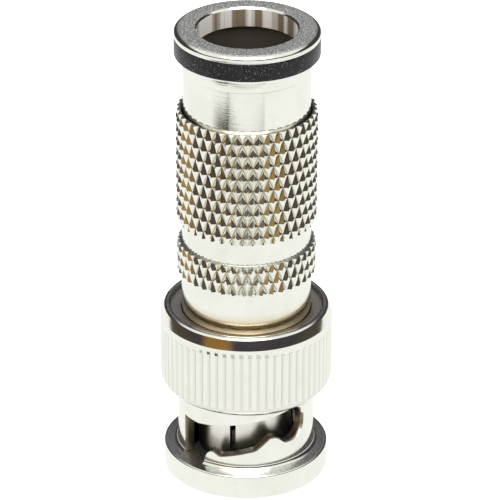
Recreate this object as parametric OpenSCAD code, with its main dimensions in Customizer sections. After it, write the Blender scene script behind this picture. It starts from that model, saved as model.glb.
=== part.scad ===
// Compression-type bayonet coaxial plug, standing on its mating face.
// The Z axis runs up the plug, from the mating face at z = 0 to the cable end.
// Angles around the plug are counted from the front (-Y) towards +X.

/* [Cable post] */
// Radius of the bore in the post, for the cable's dielectric
post_bore_r = 2.38; // [2.3:0.01:2.5]
// Wall of the post's tube
post_wall = 0.32; // [0.25:0.01:0.4]
// Length of the post's tube above its flange
post_h = 12.5; // [11.5:0.1:13.5]
// How far the barb stands out from the post's tube
barb_out = 0.3; // [0.2:0.02:0.35]
// How far the post's flange stands out from its tube
post_flange_out = 0.5; // [0.4:0.05:0.7]
// Step in the post's bore that the guide bush stands in
bush_step = 0.18; // [0.1:0.01:0.25]

/* [Compression sleeve] */
// Room for the cable's braid and jacket, between the post and the sleeve
jacket_room = 1.42; // [1.3:0.02:1.6]
// Wall of the thin skirt that closes on the cable
skirt_wall = 0.57; // [0.45:0.01:0.65]
// How far the barrel stands out from the skirt
barrel_step = 0.59; // [0.5:0.01:0.7]
// Length of the cable entry's land
entry_land_h = 1.72; // [1.5:0.02:2]
// How far the relief behind the cable entry is bored out
relief_step = 0.38; // [0.3:0.01:0.45]
// How far the seat of the colour band stands out from the barrel
band_seat_step = 0.18; // [0.1:0.01:0.25]
// Width of the rounded edge of the head, beyond the seat of the colour band
head_edge_w = 0.56; // [0.4:0.02:0.7]
// Height of the rounded edge of the head
head_round = 0.63; // [0.5:0.01:0.7]
// Height of the colour band under the head
band_h = 1.56; // [1.3:0.02:1.8]
// Height of the collar under the colour band
collar_h = 0.66; // [0.5:0.02:0.8]
// How far the collar holds the colour band
collar_step = 0.04; // [0.03:0.01:0.08]
// How far the sleeve is pressed in when a cable is fitted
sleeve_travel = 4.15; // [3.5:0.05:4.5]
// Room left above the grip ring and the cone when the sleeve is pressed in
end_gap = 0.15; // [0.1:0.01:0.25]
// Thickness of the plastic grip ring
grip_ring_t = 1; // [0.8:0.02:1.1]
// Height of the plastic grip ring
grip_ring_h = 1.9; // [1.6:0.05:2.1]
// Diameter of the O-ring's section
o_ring_d = 0.9; // [0.8:0.02:1]

/* [Knurled body] */
// Wall of the long knurled band around the sleeve
band_wall = 0.53; // [0.45:0.01:0.65]
// How much lower the short knurled band is turned
short_band_in = 0.06; // [0:0.01:0.1]
// How much lower the smooth stretch is turned
smooth_in = 0.45; // [0.35:0.01:0.5]
// How much lower the groove between the bands is turned
groove_in = 0.47; // [0.35:0.01:0.5]
// Length of the smooth stretch, from its seat on the flange to the short knurled band
smooth_h = 5.66; // [5.3:0.02:6]
// Length of the short knurled band
short_band_h = 2.63; // [2.3:0.01:3]
// Width of the groove between the bands
band_groove_h = 2.01; // [1.6:0.01:2.4]
// Length of the long knurled band, up to the open end of the body
long_band_h = 9.95; // [9.6:0.05:10.5]
// Number of diamonds around the knurl
diamonds = 40; // [36:1:44]
// Height of one row of diamonds, from one row to the next
diamond_row_h = 1.0625; // [1:0.0125:1.15]
// How far the first whole row of diamonds lies below the open end
diamond_row_drop = 0.89; // [0.6:0.01:1.1]
// Angle of the middle of a diamond on that row
diamond_a = 0.9; // [0:0.1:4]
// Depth of the knurl's valleys
knurl_depth = 0.31; // [0.2:0.01:0.34]
// How far the sharp points would stand above the flat tops
knurl_flat = 0.08; // [0.04:0.01:0.12]
// Thickness of the floor that the post's flange bears on
floor_t = 1; // [0.8:0.05:1.2]
// Length of the narrow cavity, up to the cone that closes the sleeve
cavity_h = 6.6; // [6.2:0.05:7]

/* [Outer contact] */
// Outside radius of the slotted outer contact
contact_r = 4.05; // [4:0.01:4.08]
// Wall of the outer contact's fingers
finger_wall = 0.6; // [0.45:0.05:0.7]
// Height of the finger tips above the mating face
finger_tip_z = 1.8; // [1.5:0.05:2.2]
// Height of the top of the finger slits
slit_top_z = 7.2; // [6.5:0.1:7.6]
// Width of a finger slit
slit_w = 0.5; // [0.4:0.05:0.6]
// Angle of the first finger slit
slit_a = -15.6; // [-45:0.1:45]
// Thickness of the body flange that the nut pulls on
body_flange_t = 2.1; // [1.8:0.05:2.4]
// Wall of the spigot that the knurled body is pressed on
spigot_wall = 1.1; // [0.9:0.05:1.2]
// Length of the spigot above the flange
spigot_h = 5.1; // [4.8:0.05:5.4]

/* [Insulators and centre pin] */
// Height of the lip that holds the front insulator
stack_lip_z = 8; // [7.8:0.05:8.2]
// Thickness of that lip
stack_lip_t = 0.6; // [0.4:0.05:0.8]
// How far that lip stands in from the bore
stack_lip_w = 0.6; // [0.5:0.05:0.8]
// Length of the front insulator
insulator_h = 5.4; // [5:0.05:5.6]
// Radius of the centre pin
pin_r = 0.68; // [0.66:0.005:0.7]
// Height of the tip of the centre pin
pin_tip_z = 2.3; // [2.1:0.05:2.6]
// Radius of the collar on the centre pin
pin_collar_r = 1.15; // [1.05:0.01:1.25]
// Length of the collar on the centre pin
pin_collar_h = 1.5; // [1.2:0.05:1.8]
// Radius of the centre pin's rear socket
socket_r = 0.95; // [0.9:0.01:1]
// Radius of the hole in the rear socket, for the cable's centre wire
wire_r = 0.45; // [0.4:0.01:0.5]
// Thickness of the guide bush's flange
bush_flange_t = 2; // [1.8:0.05:2.2]
// Length of the guide bush above its flange
bush_nose_h = 3.6; // [3.4:0.05:4]
// How far the guide bush stops below the step in the post's bore
bush_below = 0.15; // [0.1:0.05:0.3]

/* [Coupling nut] */
// Room between the outer contact and the nut's bore, for the jack and the gasket
jack_room = 0.875; // [0.8:0.005:0.95]
// Wall of the bayonet sleeve
sleeve_wall = 0.81; // [0.75:0.01:0.9]
// How far the flange at the mating face stands out from the sleeve
flange_out = 1.195; // [0.9:0.005:1.3]
// Height of the flange at the mating face
flange_h = 2.1; // [1.8:0.05:2.3]
// Height of the bayonet sleeve, up to the grip
sleeve_h = 7.5; // [7.2:0.05:8]
// Radius of the rounded shoulder under the grip
shoulder_round = 1.6; // [1.2:0.05:1.7]
// Depth of the mating bore, from the face to the shoulder that stops the plug body
bore_depth = 10.8; // [10.5:0.05:11.2]
// Room around the body for the wave washer
spring_room = 0.88; // [0.8:0.01:0.95]
// Wall of the nut around the spring chamber
chamber_wall = 0.95; // [0.8:0.01:1.2]
// Number of grooves in the straight knurl
grip_grooves = 64; // [48:1:72]
// Depth of a groove in the straight knurl
grip_groove_depth = 0.17; // [0.1:0.01:0.25]
// Height of the plain band above the straight knurl
plain_band_h = 0.62; // [0.4:0.02:0.8]
// Height of the rounded rim that is rolled over the retaining washer
rim_h = 0.93; // [0.8:0.02:1.1]
// Width of the rounded part of the rim
rim_round = 0.5; // [0.35:0.02:0.55]
// How far the rim's opening is turned out from the spring chamber
rim_step = 0.1; // [0.06:0.01:0.15]
// Thickness of the rim's lip above the washer
lip_t = 0.3; // [0.2:0.02:0.5]

/* [Bayonet slots] */
// Number of bayonet slots
slots = 2; // [2:1:2]
// Depth of the entry groove inside the flange
entry_groove_depth = 0.675; // [0.6:0.005:0.7]
// Angle at which the entry channel starts
entry_from = -62; // [-66:1:-58]
// Angle at which the entry channel ends and the ramp begins
entry_to = -37.5; // [-40:0.5:-35]
// Height of the top of the entry channel
entry_top = 5.65; // [5.4:0.05:5.9]
// Height of the rounded nose where the ramp begins
nose_z = 3.49; // [3.3:0.05:3.6]
// Height of the ramp's low end
ramp_z = 3.18; // [3:0.05:3.3]
// Rise of the ramp for each degree
ramp_rise = 0.0244; // [0.02:0.0005:0.027]
// Height of the hump that the pin snaps over
hump_z = 4.95; // [4.7:0.05:5.05]
// Angle of the round pocket that locks the pin
pocket_a = 42; // [41:0.5:46]
// Height of the middle of the pocket
pocket_z = 5.69; // [5.6:0.02:5.8]
// Radius of the pocket
pocket_r = 1.5; // [1.3:0.05:1.55]

/* [Washers and gasket] */
// Thickness of the flat retaining washer
washer_t = 0.5; // [0.4:0.02:0.6]
// Depth of the washer's seat beyond the rim's opening
washer_seat = 0.2; // [0.15:0.01:0.25]
// Height of the wave washer at rest
wave_h = 1.45; // [1.35:0.05:1.6]
// Thickness of the wave washer's strip
wave_t = 0.25; // [0.2:0.01:0.3]
// Number of waves
waves = 3; // [3:1:4]
// Height of the front gasket
gasket_h = 0.9; // [0.7:0.05:1]

/* [Fits] */
// Clearance between parts that turn or slide on each other
running = 0.05; // [0.02:0.01:0.08]
// Clearance of the sleeve in the body
sleeve_gap = 0.06; // [0.04:0.01:0.1]
// Clearance of seated parts
seated = 0.02; // [0.01:0.01:0.03]

/* [Hidden] */

nickel = "#d5d2c6";
steel = "#b9b7b0";
gold = "#d6ab4c";
ptfe = "#f1efe8";
silicone = "#9c3b2c";
acetal = "#e4e0d4";
rubber = "#26262a";
band_black = "#2b2a2d";

// Radii from the cable outwards
post_r = post_bore_r + post_wall;
bush_nose_r = post_bore_r - bush_step;
stack_r = post_r + post_flange_out;
spigot_r = stack_r + spigot_wall;
entry_r = post_r + jacket_room;
relief_r = entry_r + relief_step;
skirt_r = entry_r + skirt_wall;
cavity_r = skirt_r + sleeve_gap;
barrel_r = skirt_r + barrel_step;
guide_r = barrel_r + sleeve_gap;
band_seat_r = barrel_r + band_seat_step;
collar_r = band_seat_r + collar_step;
head_r = band_seat_r + head_edge_w;
long_band_r = guide_r + band_wall;
short_band_r = long_band_r - short_band_in;
body_r = long_band_r - smooth_in;
band_groove_r = long_band_r - groove_in;
chamber_r = body_r + spring_room;
body_flange_r = chamber_r - 3 * running;
rim_opening_r = chamber_r + rim_step;
washer_r = rim_opening_r + washer_seat;
grip_r = chamber_r + chamber_wall;

// Radii from the outer contact outwards
contact_bore_r = contact_r - finger_wall;
mating_bore_r = contact_r + jack_room;
sleeve_r = mating_bore_r + sleeve_wall;
entry_groove_r = mating_bore_r + entry_groove_depth;
flange_r = sleeve_r + flange_out;

// Heights from the mating face upwards
flange_top_z = bore_depth + body_flange_t;
washer_z = flange_top_z + wave_h;
lip_z = washer_z + washer_t;
nut_h = lip_z + lip_t;
grip_z = sleeve_h + shoulder_round;
grip_knurl_top = nut_h - rim_h - plain_band_h;
spigot_top_z = flange_top_z + spigot_h;
floor_top_z = spigot_top_z + floor_t;
short_band_z = flange_top_z + smooth_h;
short_band_top = short_band_z + short_band_h;
long_band_z = short_band_top + band_groove_h;
body_top_z = long_band_z + long_band_h;
stack_z = stack_lip_z + stack_lip_t;
insulator_top_z = stack_z + insulator_h;
bush_flange_top = insulator_top_z + bush_flange_t;
bush_top_z = bush_flange_top + bush_nose_h;
bush_step_z = bush_top_z + bush_below;
post_top_z = spigot_top_z + post_h;
cone_z = floor_top_z + cavity_h;
cone_top_z = cone_z + (guide_r - cavity_r);
skirt_z = floor_top_z + grip_ring_h + sleeve_travel + end_gap;
barrel_z = cone_top_z + sleeve_travel + end_gap + 0.1;
skirt_cone_z = barrel_z - (barrel_r - skirt_r);
collar_z = body_top_z + sleeve_travel + running;
band_z = collar_z + collar_h;
band_top_z = band_z + band_h;
plug_top_z = band_top_z + head_round;
o_ring_groove_h = 1.2 * o_ring_d;
o_ring_groove_r = guide_r - 0.9 * o_ring_d;
o_ring_z = barrel_z + 0.6 + o_ring_groove_h / 2;
relief_z = o_ring_z + o_ring_groove_h;

// Small edge breaks and roundings
edge = 0.15;
fillet = 0.4;
past = 1;

// Points on an arc of an ellipse, from angle a to angle b
function arc(x, z, rx, rz, a, b, steps = 6) =
  [for (i = [0 : steps]) let (t = a + (b - a) * i / steps) [x + rx * cos(t), z + rz * sin(t)]];

// A smooth step from height z0 at angle a0 to height z1 at angle a1
function ease(a, a0, z0, a1, z1) =
  z0 + (z1 - z0) * (1 - cos(180 * min(1, max(0, (a - a0) / (a1 - a0))))) / 2;

// A point at angle a from the front, at radius r and height z
function around(a, r, z) = [r * sin(a), -r * cos(a), z];

module turned(points) {
  rotate_extrude($fn = 96) polygon(points);
}

module ring(outer, inner, z, h) {
  translate([0, 0, z]) difference() {
    cylinder(r = outer, h = h, $fn = 96);
    translate([0, 0, -past]) cylinder(r = inner, h = h + 2 * past, $fn = 96);
  }
}

// ---- Coupling nut ----

// Lower edge of the slot: a rounded nose, a rising ramp, a hump and the pocket
nose_a = entry_to + 7.5;
ramp_a = nose_a + 8;
hump_from = 5;
hump_a = 24;
pocket_from = pocket_a - 4;
function ramp(a) = ramp_z + ramp_rise * max(0, a - ramp_a);
function nose(a) =
  let (s = min(1, (nose_a - a) / (nose_a - entry_to)))
  flange_h + (nose_z - flange_h) * sqrt(max(0, 1 - s * s));
function slot_bottom(a) =
  a < nose_a ? nose(a) :
  a < ramp_a ? ease(a, nose_a, nose_z, ramp_a, ramp_z) :
  a < hump_from ? ramp(a) :
  a < hump_a ? ease(a, hump_from, ramp(hump_from), hump_a, hump_z) :
  ease(a, hump_a + 1, hump_z, pocket_from, pocket_z - pocket_r);

// Upper edge of the slot: a straight helix from the entry to the top of the pocket
function slot_top(a) =
  let (from = entry_to - 6.5)
  entry_top + (pocket_z + pocket_r - entry_top) * (a - from) / (pocket_a - from);

// Stations along the slot, each an angle with a low and a high edge
pocket_half_a = pocket_r / sleeve_r * 180 / PI;
slot_stations = concat(
  [for (i = [0 : 52]) let (a = entry_to + (pocket_a - entry_to) * i / 53)
    [a, slot_bottom(a), slot_top(a)]],
  [for (t = [0 : 8.5 : 85])
    [pocket_a + pocket_half_a * sin(t), pocket_z - pocket_r * cos(t), pocket_z + pocket_r * cos(t)]]
);

module slot_cutter() {
  inner = mating_bore_r - 0.5;
  outer = sleeve_r + 0.6;
  last = 4 * (len(slot_stations) - 1);
  points = [for (s = slot_stations) each [
    around(s[0], inner, s[1]), around(s[0], inner, s[2]),
    around(s[0], outer, s[2]), around(s[0], outer, s[1])]];
  sides = [for (i = [0 : 4 : last - 4], k = [0 : 3]) let (n = (k + 1) % 4) each [
    [i + k, i + 4 + k, i + n], [i + n, i + 4 + k, i + 4 + n]]];
  polyhedron(points, concat(sides, [[0, 1, 2, 3], [last + 3, last + 2, last + 1, last]]));
  // Straight entry channel: a groove inside the flange, and open above it
  rotate([0, 0, entry_from - 90]) rotate_extrude(angle = entry_to + 0.6 - entry_from, $fn = 96)
    polygon([[inner, -past], [entry_groove_r, -past], [entry_groove_r, flange_h],
      [outer, flange_h], [outer, entry_top], [inner, entry_top]]);
}

module grip_groove() {
  translate([0, 0, grip_z + edge])
    linear_extrude(grip_knurl_top - grip_z - edge)
      polygon([[grip_r - grip_groove_depth, 0], [grip_r + past, grip_groove_depth + past],
        [grip_r + past, -grip_groove_depth - past]]);
}

module coupling_nut() color(nickel) difference() {
  union() {
    turned(concat([[0, 0]], arc(flange_r - edge, edge, edge, edge, -90, 0, 3),
      arc(flange_r - edge, flange_h - edge, edge, edge, 0, 90, 3),
      arc(sleeve_r + fillet, flange_h + fillet, fillet, fillet, 270, 180),
      [[sleeve_r, sleeve_h + 1], [0, sleeve_h + 1]]));
    turned(concat([[0, sleeve_h]], arc(grip_r - shoulder_round, grip_z, shoulder_round,
        shoulder_round, -90, 0, 8),
      arc(grip_r - rim_round, nut_h - rim_h, rim_round, rim_h, 0, 90, 8), [[0, nut_h]]));
  }
  translate([0, 0, -past]) cylinder(r = mating_bore_r, h = bore_depth + 2 * past, $fn = 96);
  translate([0, 0, -edge]) cylinder(r1 = mating_bore_r + 2 * edge, r2 = mating_bore_r,
    h = 2 * edge, $fn = 96);
  translate([0, 0, bore_depth]) cylinder(r = chamber_r, h = washer_z - bore_depth + edge, $fn = 96);
  translate([0, 0, washer_z]) cylinder(r = washer_r, h = washer_t, $fn = 96);
  translate([0, 0, washer_z]) cylinder(r = rim_opening_r, h = nut_h, $fn = 96);
  for (i = [0 : slots - 1]) rotate([0, 0, i * 360 / slots]) slot_cutter();
  for (i = [0 : grip_grooves - 1]) rotate([0, 0, (i + 0.5) * 360 / grip_grooves]) grip_groove();
}

module retaining_washer() color(steel)
  ring(washer_r - running, body_r + running, washer_z, washer_t - seated);

// A flat strip bent into waves, with its crests against the washer and its troughs on the flange
module wave_washer() {
  inner = body_r + 0.1;
  outer = chamber_r - 0.15;
  steps = 72;
  swing = (wave_h - wave_t) / 2 - seated;
  function middle(i) = flange_top_z + wave_h / 2 + swing * sin(i * 360 * waves / steps);
  points = [for (i = [0 : steps - 1]) let (a = i * 360 / steps, z = middle(i), t = wave_t / 2) each [
    around(a, inner, z - t), around(a, inner, z + t), around(a, outer, z + t), around(a, outer, z - t)]];
  color(steel) polyhedron(points, [for (i = [0 : steps - 1], k = [0 : 3])
    let (a = 4 * i, b = 4 * ((i + 1) % steps), n = (k + 1) % 4) each [
      [a + k, b + k, a + n], [a + n, b + k, b + n]]]);
}

// ---- Front end of the plug body ----

module front_gasket() color(silicone)
  ring(mating_bore_r - running, contact_r + seated, bore_depth - gasket_h, gasket_h - seated);

module contact_body() color(nickel) difference() {
  turned([[0, finger_tip_z], [contact_r - 1.5 * edge, finger_tip_z],
    [contact_r, finger_tip_z + 1.5 * edge], [contact_r, bore_depth],
    [body_flange_r, bore_depth], [body_flange_r, flange_top_z],
    [spigot_r, flange_top_z], [spigot_r, spigot_top_z - edge],
    [spigot_r - edge, spigot_top_z], [0, spigot_top_z]]);
  turned([[0, 0], [contact_bore_r + edge, 0], [contact_bore_r + edge, finger_tip_z],
    [contact_bore_r, finger_tip_z + edge], [contact_bore_r, stack_lip_z],
    [stack_r - stack_lip_w, stack_lip_z], [stack_r - stack_lip_w, stack_z],
    [stack_r, stack_z], [stack_r, spigot_top_z + past], [0, spigot_top_z + past]]);
  for (a = [0, 90]) rotate([0, 0, a + slit_a])
    translate([-slit_w / 2, -contact_r - past, 0]) cube([slit_w, 2 * (contact_r + past), slit_top_z]);
}

module front_insulator() color(ptfe) turned([
  [pin_r + seated, stack_z], [stack_r - seated, stack_z],
  [stack_r - seated, insulator_top_z], [pin_collar_r + seated, insulator_top_z],
  [pin_collar_r + seated, insulator_top_z - pin_collar_h], [pin_r + seated, insulator_top_z - pin_collar_h]]);

collar_from = insulator_top_z - pin_collar_h + seated;
socket_top_z = bush_top_z - 1.2;
module centre_pin() color(gold) difference() {
  turned(concat([[0, pin_tip_z]], arc(pin_r - 0.35, pin_tip_z + 0.7, 0.35, 0.7, -90, 0),
    [[pin_r, collar_from], [pin_collar_r, collar_from], [pin_collar_r, insulator_top_z - seated],
      [socket_r, insulator_top_z - seated], [socket_r, socket_top_z], [0, socket_top_z]]));
  translate([0, 0, insulator_top_z + 0.5]) cylinder(r = wire_r, h = socket_top_z, $fn = 48);
  for (a = [0, 90]) rotate([0, 0, a]) translate([-0.1, -2 * socket_r, bush_flange_top])
    cube([0.2, 4 * socket_r, socket_top_z]);
}

// Plastic bush that steers the cable's centre wire into the pin
module guide_bush() color(acetal) difference() {
  turned([[0, insulator_top_z], [stack_r - seated, insulator_top_z],
    [stack_r - seated, bush_flange_top - seated], [bush_nose_r - seated, bush_flange_top - seated],
    [bush_nose_r - seated, bush_top_z], [0, bush_top_z]]);
  translate([0, 0, insulator_top_z - past])
    cylinder(r = socket_r + running, h = socket_top_z + past + seated - insulator_top_z, $fn = 48);
  translate([0, 0, insulator_top_z]) cylinder(r = wire_r + running, h = post_top_z, $fn = 48);
  translate([0, 0, socket_top_z + 0.3])
    cylinder(r1 = wire_r, r2 = bush_nose_r - 0.2, h = bush_top_z - socket_top_z - 0.3, $fn = 48);
}

module cable_post() color(nickel) turned([
  [bush_nose_r, bush_flange_top], [stack_r - seated, bush_flange_top],
  [stack_r - seated, spigot_top_z - seated], [post_r, spigot_top_z - seated],
  [post_r, post_top_z - 2.4], [post_r + barb_out, post_top_z - 2.2],
  [post_r, post_top_z - 0.8], [post_r - 0.1, post_top_z], [post_bore_r, post_top_z],
  [post_bore_r, bush_step_z], [bush_nose_r, bush_step_z]]);

// ---- Knurled body ----

// Everything outside the knurl's surface. The surface is a lattice of sharp pyramids, whose
// points the turned blank cuts flat. Its valleys cross between the pyramids of each row, and
// the rows step half a diamond round from each other.
module knurl_cutter() {
  pitch = 360 / diamonds;
  valley = long_band_r - knurl_depth;
  point = long_band_r + knurl_flat;
  outer = long_band_r + past;
  first_row_z = body_top_z - diamond_row_drop;
  up = ceil((body_top_z - first_row_z) / diamond_row_h) + 1;
  down = ceil((first_row_z - short_band_z) / diamond_row_h) + 1;
  rows = up + down;
  function row_z(row) = first_row_z + (row - down) * diamond_row_h;
  function odd(row) = (row + down) % 2 == 1;
  function crossing_a(row, m) = diamond_a + (m + (odd(row) ? 0 : 0.5)) * pitch;
  points = concat(
    [for (row = [0 : rows], m = [0 : diamonds - 1]) around(crossing_a(row, m), valley, row_z(row))],
    [for (row = [1 : rows - 1], m = [0 : diamonds - 1])
      around(crossing_a(row + 1, m), point, row_z(row))],
    [for (top = [0, 1], j = [0 : 2 * diamonds - 1])
      around(diamond_a + j * pitch / 2, outer, row_z(edge_row(top, j)))]
  );
  // The upper and lower edges of the lattice zigzag between its last two rows
  function edge_row(top, j) =
    let (last = top * rows, inside = top == 1 ? rows - 1 : 1)
    odd(last) == (j % 2 == 0) ? last : inside;
  // Places in the list of points
  function crossing(row, m) = row * diamonds + (m + diamonds) % diamonds;
  function peak(row, m) = (rows + row) * diamonds + m;
  function edge_point(top, j) = crossing(edge_row(top, j), floor((j % (2 * diamonds)) / 2));
  function wall(top, j) = 2 * rows * diamonds + top * 2 * diamonds + j % (2 * diamonds);
  pyramids = [for (row = [1 : rows - 1], m = [0 : diamonds - 1])
    let (left = odd(row) ? m : m - 1, p = peak(row, m), l = crossing(row, left),
      r = crossing(row, left + 1), u = crossing(row + 1, m), d = crossing(row - 1, m))
    each [[p, r, u], [p, u, l], [p, l, d], [p, d, r]]];
  outside = [for (j = [0 : 2 * diamonds - 1]) each [
    [wall(0, j), wall(1, j), wall(1, j + 1), wall(0, j + 1)],
    [wall(0, j), wall(0, j + 1), edge_point(0, j + 1)], [wall(0, j), edge_point(0, j + 1), edge_point(0, j)],
    [wall(1, j + 1), wall(1, j), edge_point(1, j)], [wall(1, j + 1), edge_point(1, j), edge_point(1, j + 1)]]];
  polyhedron(points, concat(pyramids, outside));
}

module knurled_body() color(nickel) difference() {
  turned([[0, flange_top_z + seated], [body_r, flange_top_z + seated], [body_r, short_band_z],
    [short_band_r, short_band_z], [short_band_r, short_band_top],
    [band_groove_r, short_band_top], [band_groove_r, long_band_z],
    [long_band_r, long_band_z], [long_band_r, body_top_z - edge],
    [long_band_r - edge, body_top_z], [0, body_top_z]]);
  turned([[0, 0], [spigot_r + seated, 0], [spigot_r + seated, spigot_top_z],
    [post_r + running, spigot_top_z], [post_r + running, floor_top_z],
    [cavity_r, floor_top_z], [cavity_r, cone_z], [guide_r, cone_top_z],
    [guide_r, body_top_z - edge], [guide_r + edge + past, body_top_z + past], [0, body_top_z + past]]);
  knurl_cutter();
}

// ---- Cable end ----

module grip_ring() color(acetal)
  ring(cavity_r - 1.5 * seated, cavity_r - 1.5 * seated - grip_ring_t, floor_top_z, grip_ring_h);

module compression_sleeve() color(nickel) difference() {
  turned(concat([[0, skirt_z], [skirt_r - edge, skirt_z], [skirt_r, skirt_z + 2 * edge],
      [skirt_r, skirt_cone_z], [barrel_r, barrel_z],
      [barrel_r, o_ring_z - o_ring_groove_h / 2], [o_ring_groove_r, o_ring_z - o_ring_groove_h / 2],
      [o_ring_groove_r, o_ring_z + o_ring_groove_h / 2], [barrel_r, o_ring_z + o_ring_groove_h / 2],
      [barrel_r, collar_z], [collar_r, collar_z + edge], [collar_r, band_z],
      [band_seat_r, band_z], [band_seat_r, band_top_z], [head_r, band_top_z]],
    arc(band_seat_r, band_top_z, head_edge_w, head_round, 15, 90),
    [[0, plug_top_z]]));
  turned([[0, skirt_z - past], [entry_r, skirt_z - past], [entry_r, relief_z],
    [relief_r, relief_z + relief_r - entry_r], [relief_r, plug_top_z - entry_land_h],
    [entry_r, plug_top_z - entry_land_h], [entry_r, plug_top_z - edge],
    [entry_r + edge + past, plug_top_z + past], [0, plug_top_z + past]]);
}

module sleeve_o_ring() color(rubber) {
  section_r = (guide_r - running / 2 - o_ring_groove_r - seated) / 2;
  rotate_extrude($fn = 96) translate([o_ring_groove_r + seated + section_r, o_ring_z])
    circle(r = section_r, $fn = 32);
}

module colour_band() color(band_black)
  turned([[band_seat_r + seated, band_z], [head_r - edge, band_z], [head_r, band_z + edge],
    [head_r, band_top_z - seated], [band_seat_r + seated, band_top_z - seated]]);

coupling_nut();
retaining_washer();
wave_washer();
front_gasket();
contact_body();
front_insulator();
centre_pin();
guide_bush();
cable_post();
knurled_body();
grip_ring();
compression_sleeve();
sleeve_o_ring();
colour_band();
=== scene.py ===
# %% [markdown]
# # A compression plug with a bayonet coupling
#
# The plug stands on its mating face. A turned nut with two bayonet slots and a
# knurled grip turns around the plug's body. Above it stands the body, with two bands
# of diamond knurl, and a smooth compression sleeve with a black band slides into the
# body's open end. Nearly everything is turned on a lathe and then nickel plated, so
# nearly every piece here starts as a profile that is spun around the Z axis.

import math

import bpy
from mathutils import Euler, Matrix, Vector


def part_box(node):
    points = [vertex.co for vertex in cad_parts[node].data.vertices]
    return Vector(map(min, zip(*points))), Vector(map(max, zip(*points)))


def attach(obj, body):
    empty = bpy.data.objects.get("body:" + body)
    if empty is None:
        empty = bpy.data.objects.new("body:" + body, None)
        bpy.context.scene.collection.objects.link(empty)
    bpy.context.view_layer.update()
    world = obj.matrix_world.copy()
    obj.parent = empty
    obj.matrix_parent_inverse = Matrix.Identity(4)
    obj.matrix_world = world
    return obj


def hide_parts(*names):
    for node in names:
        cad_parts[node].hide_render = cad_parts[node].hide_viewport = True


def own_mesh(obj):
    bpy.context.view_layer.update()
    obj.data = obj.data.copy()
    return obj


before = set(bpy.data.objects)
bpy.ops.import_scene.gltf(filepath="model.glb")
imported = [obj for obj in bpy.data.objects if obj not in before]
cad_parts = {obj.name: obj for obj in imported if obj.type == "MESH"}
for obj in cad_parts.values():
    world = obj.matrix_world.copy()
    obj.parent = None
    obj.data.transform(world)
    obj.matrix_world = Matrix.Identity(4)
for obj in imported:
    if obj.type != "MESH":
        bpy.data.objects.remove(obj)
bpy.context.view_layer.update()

# %% [markdown]
# Everything on this plug is a few millimetres big, so sizes are written in
# millimetres here and turned into Blender's metres in one place. Heights and radii
# come from the boxes of the fixed model's parts, because a piece that is drawn in the
# same frame needs no fitting afterwards.

# %% Sizes that the fixed model gives
MM = 0.001

def box_of(part):
    low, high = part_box(part)
    return Vector(low) / MM, Vector(high) / MM

nut_high = box_of("coupling_nut")[1]
body_low, body_high = box_of("knurled_body")
sleeve_low, sleeve_high = box_of("compression_sleeve")
band_low, band_high = box_of("colour_band")
contact_low, contact_high = box_of("contact_body")
washer_low, washer_high = box_of("retaining_washer")
print("nut height", round(nut_high.z, 3), "plug height", round(sleeve_high.z, 3))

# %% [markdown]
# ## Camera
#
# A long lens from far away keeps the plug's sides almost parallel, as in a product
# picture. The camera is placed by the point that it looks at, its distance and its
# height angle. The tiny roll makes the plug stand a hair off the vertical.

# %% Camera
look_down = math.radians(26.82)
roll = math.radians(0.26)
view_distance = 333.95 * MM
look_at = Vector((0.296, 0, 19.96)) * MM
line_of_sight = Vector((0, math.cos(look_down), -math.sin(look_down)))

bpy.ops.object.select_all(action="DESELECT")
bpy.ops.object.camera_add()
camera = bpy.context.object
camera.matrix_world = (
    Matrix.Translation(look_at - view_distance * line_of_sight)
    @ Euler((math.pi / 2 - look_down, 0, 0)).to_matrix().to_4x4()
    @ Matrix.Rotation(roll, 4, "Z")
)
camera.data.sensor_width = 36
camera.data.lens = 288.1
camera.data.clip_start = 0.01
bpy.context.scene.camera = camera
bpy.context.scene.view_settings.view_transform = "Standard"
print("camera at", tuple(round(c, 4) for c in camera.matrix_world.translation))

# %% [markdown]
# ## Materials
#
# Bright nickel is nearly all reflection: a metallic surface with a warm, pale grey
# colour. What tells it from chrome is the lathe. Its tool leaves fine rings, on the
# walls as well as on the flat faces. The rings follow the distance from the axis and
# the height, so the pattern is made from these two numbers of the Object coordinates.
# The same node recipe with other numbers makes every metal on the plug.

# %% Helpers that add nodes to a material
def new_material(name):
    material = bpy.data.materials.new(name)
    material.use_nodes = True
    material.node_tree.nodes.clear()
    return material, material.node_tree.nodes, material.node_tree.links

def new_surface(name):
    material, nodes, links = new_material(name)
    output = nodes.new("ShaderNodeOutputMaterial")
    shader = nodes.new("ShaderNodeBsdfPrincipled")
    links.new(shader.outputs[0], output.inputs[0])
    place = nodes.new("ShaderNodeTexCoord").outputs["Object"]
    return material, nodes, links, shader, place

def math_node(nodes, links, operation, first, second=None, clamp=False):
    node = nodes.new("ShaderNodeMath")
    node.operation = operation
    node.use_clamp = clamp
    for socket, value in zip(node.inputs, (first, second)):
        if value is None:
            continue
        if isinstance(value, (int, float)):
            socket.default_value = value
        else:
            links.new(value, socket)
    return node.outputs[0]

def map_range(nodes, links, value, low, high, to_low=0, to_high=1, kind="LINEAR"):
    node = nodes.new("ShaderNodeMapRange")
    node.interpolation_type = kind
    node.inputs["From Min"].default_value = low
    node.inputs["From Max"].default_value = high
    node.inputs["To Min"].default_value = to_low
    node.inputs["To Max"].default_value = to_high
    links.new(value, node.inputs["Value"])
    return node.outputs[0]

def smooth_step(nodes, links, value, low, high):
    return map_range(nodes, links, value, low, high, kind="SMOOTHSTEP")

def between(nodes, links, value, low, high, soft):
    rise = smooth_step(nodes, links, value, (low - soft) * MM, (low + soft) * MM)
    fall = smooth_step(nodes, links, value, (high - soft) * MM, (high + soft) * MM)
    return math_node(nodes, links, "SUBTRACT", rise, fall, clamp=True)

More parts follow.
